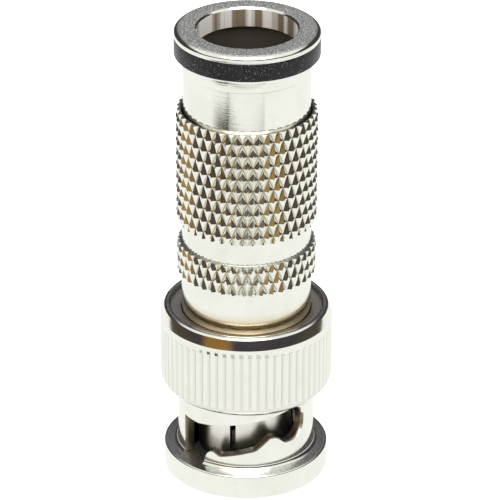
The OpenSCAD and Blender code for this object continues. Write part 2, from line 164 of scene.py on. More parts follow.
def noise(nodes, links, where, scale, detail, roughness=0.5):
    texture = nodes.new("ShaderNodeTexNoise")
    texture.inputs["Scale"].default_value = scale
    texture.inputs["Detail"].default_value = detail
    texture.inputs["Roughness"].default_value = roughness
    links.new(where, texture.inputs["Vector"])
    return texture.outputs["Fac"]

def blend_colour(nodes, links, low, high, share):
    mix = nodes.new("ShaderNodeMix")
    mix.data_type = "RGBA"
    for socket, colour in ((mix.inputs[6], low), (mix.inputs[7], high)):
        if isinstance(colour, tuple):
            socket.default_value = (*colour, 1)
        else:
            links.new(colour, socket)
    links.new(share, mix.inputs[0])
    return mix.outputs[2]

def bump(nodes, links, height, depth):
    node = nodes.new("ShaderNodeBump")
    node.inputs["Strength"].default_value = 1
    node.inputs["Distance"].default_value = depth * MM
    links.new(height, node.inputs["Height"])
    return node

# %% [markdown]
# The recipe also tints the plating with faint stains. Faces that look straight up or
# down were cut by the side of the tool, so they are satin and speckled. A colour band
# is given by its lowest and highest radius, its lowest and highest height, how soft it
# ends (all in millimetres) and its colour. The bands paint shade into the grip's
# grooves and the sleeve's counterbore and a gold reflection onto the body, and darken
# the knurl's valleys and the rim's opening. Brown tints that run along a bore in
# streaking columns are a painted reflection.

# %% Turned metal: rings from the lathe, faint stains, and satin flat faces
def turned_metal(name, colour, tint, rough, face_rough, ring_pitch, ring_depth,
        shade_and_reflection_bands=(), reflection_streaks=0, all_grain=0.0, speckled=(0.62, 0.61, 0.62)):
    material, nodes, links, shader, place = new_surface(name)
    shader.inputs["Metallic"].default_value = 1
    split = nodes.new("ShaderNodeSeparateXYZ")
    links.new(place, split.inputs[0])
    x, y, z = split.outputs

    square = math_node(nodes, links, "ADD",
        math_node(nodes, links, "POWER", x, 2.0), math_node(nodes, links, "POWER", y, 2.0))
    radius = math_node(nodes, links, "SQRT", square)
    drift = 0.04
    rings_at = nodes.new("ShaderNodeCombineXYZ")
    links.new(math_node(nodes, links, "ADD", radius,
        math_node(nodes, links, "MULTIPLY", x, drift)), rings_at.inputs[0])
    links.new(math_node(nodes, links, "MULTIPLY", y, drift), rings_at.inputs[1])
    links.new(z, rings_at.inputs[2])
    rings = noise(nodes, links, rings_at.outputs[0], 1 / (ring_pitch * MM), 2)

    stain_size = 2.5
    stains = noise(nodes, links, place, 1 / (stain_size * MM), 6, 0.65)
    stained = map_range(nodes, links, stains, 0.45, 0.75)
    surface = blend_colour(nodes, links, colour, tint, stained)

    # Painted reflection: dark brown streaking in columns around the bore stands in for the dark room
    # that the bore mirrors.
    if reflection_streaks:
        flat_place = nodes.new("ShaderNodeVectorMath")
        flat_place.operation = "MULTIPLY"
        flat_place.inputs[1].default_value = (1, 1, 0)
        links.new(place, flat_place.inputs[0])
        around = nodes.new("ShaderNodeVectorMath")
        around.operation = "NORMALIZE"
        links.new(flat_place.outputs[0], around.inputs[0])
        columns = noise(nodes, links, around.outputs[0], reflection_streaks, 3)
        off_streak = smooth_step(nodes, links, columns, 0.42, 0.56)
        surface = blend_colour(nodes, links, (0.26, 0.20, 0.13), surface, off_streak)

    wall_soft = 0.04
    # Each band lays its colour over the metal; the metals below say which band is painted shade and
    # which a painted reflection.
    for low_r, high_r, low_z, high_z, soft, band_colour in shade_and_reflection_bands:
        here = math_node(nodes, links, "MULTIPLY",
            between(nodes, links, radius, low_r, high_r, wall_soft),
            between(nodes, links, z, low_z, high_z, soft))
        surface = blend_colour(nodes, links, surface, band_colour, here)

    facing = nodes.new("ShaderNodeNewGeometry")
    facing_split = nodes.new("ShaderNodeSeparateXYZ")
    links.new(facing.outputs["True Normal"], facing_split.inputs[0])
    up_or_down = math_node(nodes, links, "ABSOLUTE", facing_split.outputs[2])
    flat = map_range(nodes, links, up_or_down, 0.9, 0.99)
    satin = map_range(nodes, links, flat, 0, 1, rough, face_rough)
    uneven = map_range(nodes, links, stains, 0, 1, -0.04, 0.08)
    links.new(math_node(nodes, links, "ADD", satin, uneven, clamp=True),
        shader.inputs["Roughness"])

    grain_size, grain_depth = 0.13, 0.012
    grain = noise(nodes, links, place, 1 / (grain_size * MM), 2)
    speckles = math_node(nodes, links, "MULTIPLY", flat,
        smooth_step(nodes, links, grain, 0.60, 0.42))
    links.new(blend_colour(nodes, links, surface, speckled, speckles),
        shader.inputs["Base Color"])
    grained = bump(nodes, links, grain, grain_depth)
    links.new(math_node(nodes, links, "MAXIMUM",
        math_node(nodes, links, "MULTIPLY", flat, 0.8), all_grain), grained.inputs["Strength"])
    ringed = bump(nodes, links, rings, ring_depth)
    links.new(grained.outputs[0], ringed.inputs["Normal"])
    links.new(ringed.outputs[0], shader.inputs["Normal"])
    return material

# %% The metals
bright, dull = (0.885, 0.895, 0.81), (0.83, 0.83, 0.735)
# Band colours: painted shade for the grip's grooves, their top ends and the counterbore, a painted gold
# reflection on the body, and darker tints for the knurl's valleys and the rim's opening.
grip_groove_shade, groove_end_shade, rim_opening_tint = (0.79, 0.79, 0.71), (0.12, 0.11, 0.09), (0.36, 0.33, 0.27)
knurl_valley_tint, gold_reflection = (0.60, 0.55, 0.45), (0.74, 0.62, 0.40)
bore_shade, bore_land = (0.06, 0.048, 0.032), 1.78

nickel = turned_metal("nickel", bright, dull, 0.08, 0.50, 0.10, 0.0022,
    all_grain=0.12, speckled=(0.36, 0.36, 0.40))
contact_nickel = turned_metal("contact_nickel", (0.86, 0.84, 0.76), dull,
    0.27, 0.34, 0.10, 0.001)
nut_nickel = turned_metal("nut_nickel", bright, dull, 0.10, 0.26, 0.14, 0.0009,
    speckled=(0.58, 0.57, 0.60), shade_and_reflection_bands=[
        # Painted shade: a little darker in the grip's grooves and on the shoulder below them.
        (6.9, 7.17, 8.3, 13.60, 0.05, grip_groove_shade),
        # Painted shade: dark dashes at the top ends of the grooves.
        (6.9, 7.20, 13.50, 13.58, 0.02, groove_end_shade),
        # A darker colour on the inner wall of the rim's opening, above the washer.
        (6.25, 6.50, 14.85, 15.1, 0.05, rim_opening_tint)])
knurl_nickel = turned_metal("knurl_nickel", bright, dull, 0.12, 0.28, 0.30, 0.0006,
    all_grain=0.25, shade_and_reflection_bands=[
        # A darker, browner colour on the knurl's valleys in both bands.
        (5.3, 5.60, 18.70, 21.05, 0.05, knurl_valley_tint),
        (5.3, 5.60, 23.35, 33.05, 0.05, knurl_valley_tint),
        # Painted reflection: a gold band on the body just above the washer, where it mirrors the washer
        # and the rolled rim.
        (5.3, 5.50, 12.0, 16.1, 0.65, gold_reflection)])
# Its columns of dark brown streaking are a painted reflection.
bored_nickel = turned_metal("bored_nickel", (1.0, 0.98, 0.93), (1.0, 0.95, 0.86),
    0.66, 0.35, 0.07, 0.012, reflection_streaks=3.2,
    shade_and_reflection_bands=[(4.2, 4.6, 30.0, sleeve_high.z - bore_land, 0.04, bore_shade)])
milled_nickel = turned_metal("milled_nickel", (0.27, 0.22, 0.155), (0.13, 0.10, 0.07),
    0.30, 0.35, 0.25, 0.02, all_grain=0.9)
burr_nickel = turned_metal("burr_nickel", (0.88, 0.84, 0.74), (0.40, 0.32, 0.23),
    0.30, 0.30, 0.30, 0.02, all_grain=0.9)
spring_steel = turned_metal("spring_steel", (0.66, 0.62, 0.54), (0.50, 0.45, 0.37),
    0.25, 0.34, 0.2, 0.002)
gold_plate = turned_metal("gold_plate", (0.90, 0.66, 0.28), (0.82, 0.56, 0.20),
    0.14, 0.3, 0.08, 0.001)
print("metals made:", len(bpy.data.materials))

# %% [markdown]
# The sleeve's bore is dull: most light scatters on it, and what it mirrors runs up and
# down across its fine rings.

# %% Give the bored wall its dull, brushed look
for node in bored_nickel.node_tree.nodes:
    if node.type == "BSDF_PRINCIPLED":
        node.inputs["Metallic"].default_value = 0.2
        node.inputs["Anisotropic"].default_value = 0.9
        node.inputs["Anisotropic Rotation"].default_value = 0.25
        round_axis = bored_nickel.node_tree.nodes.new("ShaderNodeTangent")
        round_axis.direction_type = "RADIAL"
        round_axis.axis = "Z"
        bored_nickel.node_tree.links.new(round_axis.outputs[0], node.inputs["Tangent"])

# %% [markdown]
# The plastics and rubbers are not metallic. Each has a mottled colour, a roughness
# that varies a little, and a fine grain as a bump, because a moulded or turned
# plastic is never quite even.

# %% Plastics and rubbers
def soft_material(name, colour, tint, rough, grain_size, grain_depth,
        dust_lift=0.03, specular=0.5):
    material, nodes, links, shader, place = new_surface(name)
    shader.inputs["Specular IOR Level"].default_value = specular
    mottle_size, dust_size, rough_swing = 1.2, 0.11, 0.08
    mottle = noise(nodes, links, place, 1 / (mottle_size * MM), 5)
    dust = noise(nodes, links, place, 1 / (dust_size * MM), 1)
    dust_colour = tuple(min(1, c + dust_lift) for c in colour)
    mottled = blend_colour(nodes, links, colour, tint, mottle)
    dusty = blend_colour(nodes, links, mottled, dust_colour,
        smooth_step(nodes, links, dust, 0.62, 0.76))
    links.new(dusty, shader.inputs["Base Color"])
    links.new(map_range(nodes, links, mottle, 0, 1, rough - rough_swing, rough + rough_swing),
        shader.inputs["Roughness"])
    grain = noise(nodes, links, place, 1 / (grain_size * MM), 3)
    links.new(bump(nodes, links, grain, grain_depth).outputs[0], shader.inputs["Normal"])
    return material

white_insulator = soft_material("white_insulator", (0.86, 0.85, 0.82), (0.80, 0.79, 0.75),
    0.42, 0.12, 0.003)
cream_plastic = soft_material("cream_plastic", (0.78, 0.74, 0.64), (0.70, 0.66, 0.56),
    0.45, 0.12, 0.003)
red_silicone = soft_material("red_silicone", (0.30, 0.05, 0.028), (0.24, 0.04, 0.022), 0.5, 0.1, 0.004)
black_rubber = soft_material("black_rubber", (0.016, 0.016, 0.018), (0.024, 0.024, 0.026),
    0.5, 0.08, 0.005)
black_band = soft_material("black_band", (0.008, 0.007, 0.009), (0.018, 0.017, 0.020),
    0.30, 0.16, 0.014, dust_lift=0.26, specular=0.25)

# %% [markdown]
# ## Turning
#
# A lathe cuts a profile into a bar that spins. In Blender the profile is drawn first,
# point by point, in the plane through the axis: one point, extruded from each corner
# to the next. The Spin tool then sweeps it round. After a full turn the last column
# lies on the first, so doubles are merged, and the normals are recalculated because
# spin can turn a shape inside out. The corners are softened before the spin, as no
# turned edge is razor sharp. The shading is weighted by the size of the faces, so that
# the large faces beside a softened corner stay even.

# %% Helpers that draw and soften a profile
def arc(r, z, reach_r, reach_z, start, end, steps=8):
    angles = [math.radians(start + (end - start) * i / steps) for i in range(steps + 1)]
    return [(r + reach_r * math.cos(a), z + reach_z * math.sin(a)) for a in angles]

def soften(profile, radius, steps=3):
    soft = []
    for i, corner in enumerate(profile):
        here = Vector(corner)
        to_last = Vector(profile[i - 1]) - here
        to_next = Vector(profile[(i + 1) % len(profile)]) - here
        if to_last.length < 1e-6 or to_next.length < 1e-6:
            continue
        turn = math.pi - to_last.angle(to_next)
        if turn < math.radians(22):
            soft.append(tuple(here))
            continue
        reach = min(radius * math.tan(turn / 2), 0.4 * to_last.length, 0.4 * to_next.length)
        start = here + to_last.normalized() * reach
        end = here + to_next.normalized() * reach
        for k in range(steps + 1):
            t = k / steps
            soft.append(tuple(start * (1 - t) ** 2 + here * 2 * t * (1 - t) + end * t ** 2))
    return soft

def select_only(piece):
    bpy.ops.object.select_all(action="DESELECT")
    piece.select_set(True)
    bpy.context.view_layer.objects.active = piece

def turn_on_lathe(name, profile, columns=192):
    first = Vector((profile[0][0], 0, profile[0][1])) * MM
    bpy.ops.object.select_all(action="DESELECT")
    bpy.ops.mesh.primitive_plane_add(size=0.1 * MM, location=first)
    piece = bpy.context.object
    piece.name = name
    bpy.ops.object.transform_apply(location=True, rotation=True, scale=True)
    bpy.ops.object.mode_set(mode="EDIT")
    bpy.ops.mesh.select_mode(type="VERT")
    bpy.ops.mesh.merge(type="CENTER")
    for (r0, z0), (r1, z1) in zip(profile, profile[1:] + profile[:1]):
        bpy.ops.mesh.extrude_region_move(
            TRANSFORM_OT_translate={"value": Vector((r1 - r0, 0, z1 - z0)) * MM})
    bpy.ops.mesh.select_all(action="SELECT")
    bpy.ops.mesh.remove_doubles(threshold=0.0005 * MM)
    bpy.ops.mesh.spin(steps=columns, angle=math.tau, center=(0, 0, 0), axis=(0, 0, 1))
    bpy.ops.mesh.select_all(action="SELECT")
    bpy.ops.mesh.remove_doubles(threshold=0.0005 * MM)
    bpy.ops.mesh.normals_make_consistent(inside=False)
    bpy.ops.object.mode_set(mode="OBJECT")
    print(name, "turned:", len(piece.data.polygons), "faces")
    return piece

def smooth(piece, angle=30):
    select_only(piece)
    bpy.ops.object.shade_smooth_by_angle(angle=math.radians(angle))
    weights = piece.modifiers.new("weights", "WEIGHTED_NORMAL")
    weights.keep_sharp = True
    bpy.ops.object.modifier_apply(modifier="weights")

def cut_away(piece, cutter):
    select_only(piece)
    cut = piece.modifiers.new("cut", "BOOLEAN")
    cut.operation = "DIFFERENCE"
    cut.solver = "EXACT"
    cut.object = cutter
    cut.material_mode = "TRANSFER" if cutter.data.materials else "INDEX"
    bpy.ops.object.modifier_apply(modifier="cut")
    bpy.data.objects.remove(cutter)

def finish(piece, material, body, slot, *parts, angle=30):
    smooth(piece, angle)
    if not piece.data.materials:
        piece.data.materials.append(material)
    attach(piece, body)
    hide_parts(*parts)
    print(piece.name, "finished with", len(piece.data.polygons), "faces")

# %% [markdown]
# ## Coupling nut
#
# The nut is one turned piece: a flange at the mating face, the bayonet sleeve with a
# round shoulder, the knurled grip, and a rim that is rolled over a washer. The profile
# has extra rings where the knurl begins and ends.

# %% Sizes of the nut
flange_r, flange_h = nut_high.x - 0.32, 2.1
nut_h = nut_high.z
grip_r = nut_high.x
mating_bore_r, sleeve_r = 4.925, 5.735
sleeve_h, shoulder_round = 7.5, 1.6
body_above_bore = 7.2
bore_depth = contact_high.z - body_above_bore
chamber_r = 6.3
washer_z, lip_z = washer_low.z, washer_low.z + 0.5
rim_opening_r, washer_seat_r = 6.4, 6.6
rim_round, rim_h = 0.5, 0.93
grip_z = sleeve_h + shoulder_round
knurl_from, knurl_to = grip_z + 0.15, nut_h - rim_h - 0.62
groove_depth, run_out = 0.17, 0.08
edge, root = 0.15, 0.4
print("flange radius", round(flange_r, 3), "bore depth", round(bore_depth, 3))

# %% Turn the nut
nut_profile = soften(
    [(mating_bore_r, edge), (mating_bore_r + edge, 0)]
    + arc(flange_r - edge, edge, edge, edge, -90, 0, 5)
    + arc(flange_r - edge, flange_h - edge, edge, edge, 0, 90, 5)
    + arc(sleeve_r + root, flange_h + root, root, root, 270, 180, 8)
    + arc(grip_r - shoulder_round, grip_z, shoulder_round, shoulder_round, -86, 0, 14)
    + [(grip_r, z) for z in (knurl_from, knurl_to - run_out, knurl_to)]
    + soften([(grip_r, knurl_to + 0.2), (grip_r, nut_h - rim_h), (grip_r - 0.35, nut_h - 0.1),
        (grip_r - rim_round - 0.02, nut_h), (rim_opening_r, nut_h)], 0.16, 5)[1:-1]
    + [(rim_opening_r, nut_h), (rim_opening_r, lip_z), (washer_seat_r, lip_z),
       (washer_seat_r, washer_z),
       (chamber_r, washer_z), (chamber_r, bore_depth), (mating_bore_r, bore_depth)], 0.06)
grooves = 64
columns_per_groove = 6
nut = turn_on_lathe("bayonet_nut", nut_profile, grooves * columns_per_groove)

# %% [markdown]
# The straight knurl is 64 grooves. The spin made six columns for each groove, so a
# groove is made by pulling its middle column towards the axis, and the two columns
# beside it a little less. The pull stops short of the last ring at the top, which
# leaves a short slope where the knurling wheel ran out. At the bottom the grooves run
# out into the round shoulder.

# %% Press the grooves into the grip
def select_vertices(piece, wanted):
    select_only(piece)
    bpy.ops.object.mode_set(mode="EDIT")
    bpy.ops.mesh.select_mode(type="VERT")
    bpy.ops.mesh.select_all(action="DESELECT")
    bpy.ops.object.mode_set(mode="OBJECT")
    for vertex in piece.data.vertices:
        vertex.select = wanted(vertex.co / MM)
    bpy.ops.object.mode_set(mode="EDIT")

def pull_columns_in(offset, depth, low, high):
    pitch = math.tau / grooves
    floor_r = grip_r - depth

    def in_column(place):
        turn = (math.atan2(place.y, place.x) / pitch - 0.5) % 1
        beside = min(abs(turn - offset), abs(turn + offset - 1), abs(turn - offset - 1))
        on_grip = math.hypot(place.x, place.y) > floor_r and low - 0.01 < place.z < high + 0.01
        return on_grip and beside < 0.05

    select_vertices(nut, in_column)
    bpy.ops.object.mode_set(mode="OBJECT")
    for vertex in nut.data.vertices:
        if vertex.select:
            pull = floor_r * MM / math.hypot(vertex.co.x, vertex.co.y)
            vertex.co.x, vertex.co.y = vertex.co.x * pull, vertex.co.y * pull
    print("pulled", sum(v.select for v in nut.data.vertices), "points in by", depth)

for column, share in ((0, 1), (1, 0.55), (2, 0.12)):
    pull_columns_in(column / columns_per_groove, share * groove_depth, sleeve_h, knurl_to - run_out)

# %% [markdown]
# ## Bayonet slots
#
# Each slot is a cam: the jack's pin enters through a straight channel, climbs a ramp,
# snaps over a hump and drops into a round pocket. The slot is cut through the sleeve
# wall. Its cutter is a strip whose lower and upper edges follow the cam, wrapped around
# the axis and thickened outwards. The strip flares a little where it leaves the wall,
# so that the cut has a broken edge, as a deburred slot has. The cutter also brings two
# metals, which the cut faces take over: a dark milled wall and a bright burr at its edge.

# %% The outline of a slot
entry_from, entry_to, entry_top = -62, -37.5, 5.65
nose_z, ramp_z, ramp_rise, hump_z = 3.49, 3.18, 0.0244, 4.95
pocket_a, pocket_z, pocket_r = 42, 5.69, 1.5
nose_a, ramp_a = entry_to + 7.5, entry_to + 15.5

def ease(a, a0, z0, a1, z1):
    t = min(1, max(0, (a - a0) / (a1 - a0)))
    return z0 + (z1 - z0) * (1 - math.cos(math.pi * t)) / 2

def ramp_height(a):
    return ramp_z + ramp_rise * max(0, a - ramp_a)

def slot_bottom(a):
    if a < entry_to:
        return flange_h + 0.004
    if a < nose_a:
        s = (nose_a - a) / (nose_a - entry_to)
        return flange_h + (nose_z - flange_h) * math.sqrt(max(0, 1 - s * s))
    if a < ramp_a:
        return ease(a, nose_a, nose_z, ramp_a, ramp_z)
    if a < 5:
        return ramp_height(a)
    if a < 24:
        return ease(a, 5, ramp_height(5), 24, hump_z)
    return ease(a, 25, hump_z, pocket_a - 4, pocket_z - pocket_r)

def slot_top(a):
    start = entry_to - 6.5
    top = entry_top + (pocket_z + pocket_r - entry_top) * (a - start) / (pocket_a - start)
    return max(entry_top, top)

half_pocket = math.degrees(pocket_r / sleeve_r)
slot_stations = (
    [(a, slot_bottom(a), slot_top(a)) for a in range(entry_from, entry_from + 24, 2)]
    + [(entry_to - 0.05, slot_bottom(entry_to - 0.05), slot_top(entry_to))]
    + [(a, slot_bottom(a), slot_top(a))
       for a in [entry_to + 0.15 + (pocket_a - entry_to - 0.15) * (i / 80) ** 1.08 for i in range(80)]]
    + [(pocket_a + half_pocket * math.sin(t), pocket_z - pocket_r * math.cos(t),
        pocket_z + pocket_r * math.cos(t))
       for t in [math.radians(5 * i) for i in range(18)]]
)

# %% Cut the slots
cutter_layers = ((0, sleeve_r - 0.24), (0.05, sleeve_r - 0.05),
    (0.14, sleeve_r + 0.1), (0.14, sleeve_r + 0.55))

def slot_strip(flare, radius):
    points = []
    for a, low, high in slot_stations:
        if a <= entry_from:
            a -= math.degrees(flare / sleeve_r)
        if a > pocket_a:
            round_end = math.sin(math.acos(min(1, (high - low) / 2 / pocket_r)))
            a += math.degrees(flare / sleeve_r) * round_end
        drop = flare if a > entry_to else 0
        t = math.radians(a)
        for z in (low - drop, high + flare):
            points.append(Vector((radius * math.sin(t), -radius * math.cos(t), z)) * MM)
    return points

def make_slot_cutter():
    bpy.ops.object.select_all(action="DESELECT")
    bpy.ops.mesh.primitive_grid_add(x_subdivisions=len(slot_stations) - 1, y_subdivisions=1, size=MM)
    cutter = bpy.context.object
    order = sorted(cutter.data.vertices, key=lambda v: (round(v.co.x, 7), v.co.y))
    for vertex, point in zip(order, slot_strip(0, mating_bore_r - 0.5)):
        vertex.co = point
    cutter.matrix_world = Matrix.Identity(4)
    bpy.ops.object.mode_set(mode="EDIT")
    bpy.ops.mesh.select_all(action="SELECT")
    for flare, radius in cutter_layers:
        bpy.ops.mesh.extrude_region()
        bpy.ops.object.mode_set(mode="OBJECT")
        moved = sorted((v for v in cutter.data.vertices if v.select),
            key=lambda v: (round(math.atan2(v.co.x, -v.co.y), 6), v.co.z))
        for vertex, point in zip(moved, slot_strip(flare, radius)):
            vertex.co = point
        bpy.ops.object.mode_set(mode="EDIT")
    bpy.ops.mesh.select_all(action="SELECT")
    bpy.ops.mesh.normals_make_consistent(inside=False)
    bpy.ops.object.mode_set(mode="OBJECT")
    return cutter

def make_entry_cutter():
    inner_r, outer_r, low_z, high_z = mating_bore_r - 0.5, 5.6, -0.5, flange_h + 0.1
    channel = [(inner_r, low_z), (outer_r, low_z), (outer_r, high_z), (inner_r, high_z)]
    bpy.ops.object.select_all(action="DESELECT")
    bpy.ops.mesh.primitive_plane_add(size=MM)
    cutter = bpy.context.object
    order = sorted(cutter.data.vertices, key=lambda v: math.atan2(v.co.y, v.co.x))
    t = math.radians(entry_from)
    for vertex, (r, z) in zip(order, channel):
        vertex.co = Vector((r * math.sin(t), -r * math.cos(t), z)) * MM
    bpy.ops.object.mode_set(mode="EDIT")
    bpy.ops.mesh.select_all(action="SELECT")
    bpy.ops.mesh.spin(steps=24, angle=math.radians(entry_to - entry_from),
        center=(0, 0, 0), axis=(0, 0, 1))
    bpy.ops.mesh.select_all(action="SELECT")
    bpy.ops.mesh.normals_make_consistent(inside=False)
    bpy.ops.object.mode_set(mode="OBJECT")
    return cutter

nut.data.materials.append(nut_nickel)
for half_turn in (0, math.pi):
    for cutter in (make_slot_cutter(), make_entry_cutter()):
        cutter.data.transform(Matrix.Rotation(half_turn, 4, "Z"))
        cutter.data.materials.append(milled_nickel)
        cutter.data.materials.append(burr_nickel)
        for face in cutter.data.polygons:
            outermost = max(math.hypot(*cutter.data.vertices[v].co.xy) for v in face.vertices)
            at_the_edge = outermost > (sleeve_r - 0.2) * MM
            face.material_index = 1 if at_the_edge and abs(face.normal.z) > 0.3 else 0
        cut_away(nut, cutter)
finish(nut, nut_nickel, "nut", "nickel", "coupling_nut")

# %% [markdown]
# ## Washers and gasket
#
# A flat washer under the rolled rim holds the nut on the body. Below it a wave washer
# pushes the nut back, and it flattens as the nut is pushed over the jack's pins. It is
# a ring with three waves, made by lifting and lowering the columns of a flat turned
# ring. A silicone gasket seals the bottom of the bore.

# %% Flat washer, wave washer and gasket
body_r = 5.42

def turn_ring(name, outer, inner, low, high, softening, columns=192):
    section = [(inner, low), (outer, low), (outer, high), (inner, high)]
    return turn_on_lathe(name, soften(section, softening), columns)

flat_washer = turn_ring("flat_washer", washer_seat_r - 0.05, body_r + 0.05,
    washer_low.z, washer_high.z, 0.06)
finish(flat_washer, spring_steel, "washer_carrier", "spring_steel", "retaining_washer")

wave_low, wave_high = box_of("wave_washer")
strip_t, waves = 0.25, 3
wave_middle = (wave_low.z + wave_high.z) / 2
wave_swing = (wave_high.z - wave_low.z - strip_t) / 2
wave = turn_ring("wave_washer_bent", wave_high.x, body_r + 0.1,
    wave_middle - strip_t / 2, wave_middle + strip_t / 2, 0.04, 144)
for vertex in wave.data.vertices:
    around = math.atan2(vertex.co.x, -vertex.co.y)
    vertex.co.z += wave_swing * math.sin(waves * around) * MM
finish(wave, spring_steel, "plug_body", "spring_steel", "wave_washer")
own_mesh(wave)

gasket_low, gasket_high = box_of("front_gasket")
gasket = turn_ring("silicone_gasket", gasket_high.x, 4.07, gasket_low.z, gasket_high.z, 0.12)
finish(gasket, red_silicone, "plug_body", "silicone", "front_gasket")

# %% [markdown]
# ## Front end of the plug body
#
# Inside the nut stands the outer contact, a tube that four slits divide into springy
# fingers. It holds the white insulator and the gold-plated centre pin.

# %% Outer contact with its four slits
contact_r, contact_bore_r = 4.05, 3.45
body_flange_r, body_flange_top = contact_high.x, bore_depth + 2.1
spigot_r, stack_r, seat_r = 4.3, 3.2, 2.6
stack_z, finger_root_z = 8.6, 8.0
slit_w, slit_top, slit_a = 0.5, 7.2, -15.6

outer_contact = turn_on_lathe("outer_contact", soften([
    (contact_bore_r + 0.15, contact_low.z), (contact_r - 0.22, contact_low.z),
    (contact_r, contact_low.z + 0.22),
    (contact_r, bore_depth), (body_flange_r, bore_depth), (body_flange_r, body_flange_top),
    (spigot_r, body_flange_top), (spigot_r, contact_high.z - 0.15), (spigot_r - 0.15, contact_high.z),
    (stack_r, contact_high.z), (stack_r, stack_z), (seat_r, stack_z), (seat_r, finger_root_z),
    (contact_bore_r, finger_root_z), (contact_bore_r, contact_low.z + 0.15)], 0.05))

def cut_slits(piece, width, low, high, reach, first_angle):
    for quarter in (0, 90):
        bpy.ops.object.select_all(action="DESELECT")
        bpy.ops.mesh.primitive_cube_add(size=1)
        blade = bpy.context.object
        blade.data.transform(Matrix.Diagonal((width * MM, 2 * reach * MM, (high - low) * MM, 1)))
        blade.data.transform(Matrix.Translation((0, 0, (low + high) / 2 * MM)))
        blade.data.transform(Matrix.Rotation(math.radians(quarter + first_angle), 4, "Z"))
        cut_away(piece, blade)

cut_slits(outer_contact, slit_w, 0, slit_top, contact_r + 1, slit_a)
finish(outer_contact, contact_nickel, "plug_body", "nickel", "contact_body")

# %% Insulator, centre pin and guide bush
insulator_low, insulator_high = box_of("front_insulator")
pin_hole_r, collar_hole_r = 0.70, 1.17
insulator = turn_on_lathe("white_insulator_plug", soften([
    (pin_hole_r, insulator_low.z), (insulator_high.x, insulator_low.z),
    (insulator_high.x, insulator_high.z), (collar_hole_r, insulator_high.z),
    (collar_hole_r, insulator_high.z - 1.5), (pin_hole_r, insulator_high.z - 1.5)], 0.08))
finish(insulator, white_insulator, "plug_body", "insulator_white", "front_insulator")

pin_low, pin_high = box_of("centre_pin")
pin_r, pin_collar_r, socket_r, wire_r = 0.68, pin_high.x, 0.95, 0.45
collar_from, collar_to, wire_floor = 12.52, 13.98, 14.5
centre_pin = turn_on_lathe("gold_centre_pin", [(0.0, pin_low.z), (0.14, pin_low.z + 0.01)]
    + arc(pin_r - 0.35, pin_low.z + 0.7, 0.35, 0.7, -70, 0, 8)
    + soften([(pin_r, 12.0), (pin_r, collar_from), (pin_collar_r, collar_from),
        (pin_collar_r, collar_to), (socket_r, collar_to), (socket_r, pin_high.z),
        (wire_r, pin_high.z), (wire_r, wire_floor), (0.1, wire_floor)], 0.06)[1:-4]
    + [(wire_r, wire_floor), (0.0, wire_floor)], 96)
cut_slits(centre_pin, 0.2, 16, 19, 2, 0)
finish(centre_pin, gold_plate, "plug_body", "gold_plate", "centre_pin")

bush_low, bush_high = box_of("guide_bush")
bush_nose_r, bush_bore_r, throat_r = 2.18, 1.0, 0.5
bush_step_z, throat_low, throat_high = 15.98, 18.42, 18.7
guide_bush = turn_on_lathe("wire_guide", soften([
    (bush_bore_r, bush_low.z), (bush_high.x, bush_low.z), (bush_high.x, bush_step_z),
    (bush_nose_r, bush_step_z), (bush_nose_r, bush_high.z), (2.0, bush_high.z),
    (throat_r, throat_high), (throat_r, throat_low), (bush_bore_r, throat_low)], 0.06))
finish(guide_bush, cream_plastic, "plug_body", "insulator_cream", "guide_bush")

# %% Cable post with its barb
post_low, post_high = box_of("cable_post")
post_bore_r, post_r, barb = 2.38, 2.70, 0.3
post_foot_top, post_step_z = 17.98, 19.75
cable_post = turn_on_lathe("barbed_cable_post", soften([
    (bush_nose_r + 0.02, post_low.z), (post_high.x, post_low.z), (post_high.x, post_foot_top),
    (post_r, post_foot_top), (post_r, post_high.z - 2.4), (post_r + barb, post_high.z - 2.2),
    (post_r, post_high.z - 0.8), (post_r - 0.1, post_high.z), (post_bore_r, post_high.z),
    (post_bore_r, post_step_z), (bush_nose_r + 0.02, post_step_z)], 0.04))
finish(cable_post, nickel, "plug_body", "nickel", "cable_post")

# %% [markdown]
# ## Knurled body
#
# The body is turned first, then two crossing knurling wheels press the diamonds into
# its two bands. Here too the blank is turned first. The knurl is a lattice of pyramids:
# one diamond is modelled, spun into a ring of 40, and the ring is arrayed upwards, with
# every second ring half a diamond round. The lattice is closed with a wide outer wall
# and cut from the blank, whose surface leaves the small flats on the points.

# %% Turn the blank
long_band_r, short_band_r, groove_r = body_high.x, body_high.x - 0.06, body_high.x - 0.47
short_band_z, short_band_top, long_band_z = 18.56, 21.19, 23.2
guide_r, cavity_r, spigot_seat_r = 5.34, 4.75, 4.32
guide_floor, cavity_top, floor_top, floor_low = 26.19, 25.6, 19.0, 18.0
body_top = body_high.z

knurled_body = turn_on_lathe("knurled_body_turned", soften([
    (spigot_seat_r, body_low.z), (body_r, body_low.z), (body_r, short_band_z),
    (short_band_r, short_band_z),
    (short_band_r, short_band_top), (groove_r, short_band_top), (groove_r, long_band_z),
    (long_band_r, long_band_z), (long_band_r, body_top - 0.15), (long_band_r - 0.15, body_top),
    (guide_r + 0.15, body_top), (guide_r, body_top - 0.15), (guide_r, guide_floor),
    (cavity_r, cavity_top), (cavity_r, floor_top), (post_r + 0.05, floor_top),
    (post_r + 0.05, floor_low), (spigot_seat_r, floor_low)], 0.03, 2), 160)

# %% Model one diamond
diamonds = 40
row_h = 1.0625
first_row_z = body_top - 0.89
first_diamond_a = 0.9
half_pitch = 180 / diamonds
valley_r, point_r = long_band_r - 0.31, long_band_r + 0.08
tip, ridge = 0.12, 0.028

def on_facet(turn, rise):
    share = abs(turn) / half_pitch + abs(rise) / row_h
    radius = point_r - share * (point_r - valley_r)
    t = math.radians(turn + first_diamond_a)
    return Vector((radius * math.sin(t), -radius * math.cos(t), first_row_z + 2 * row_h + rise)) * MM

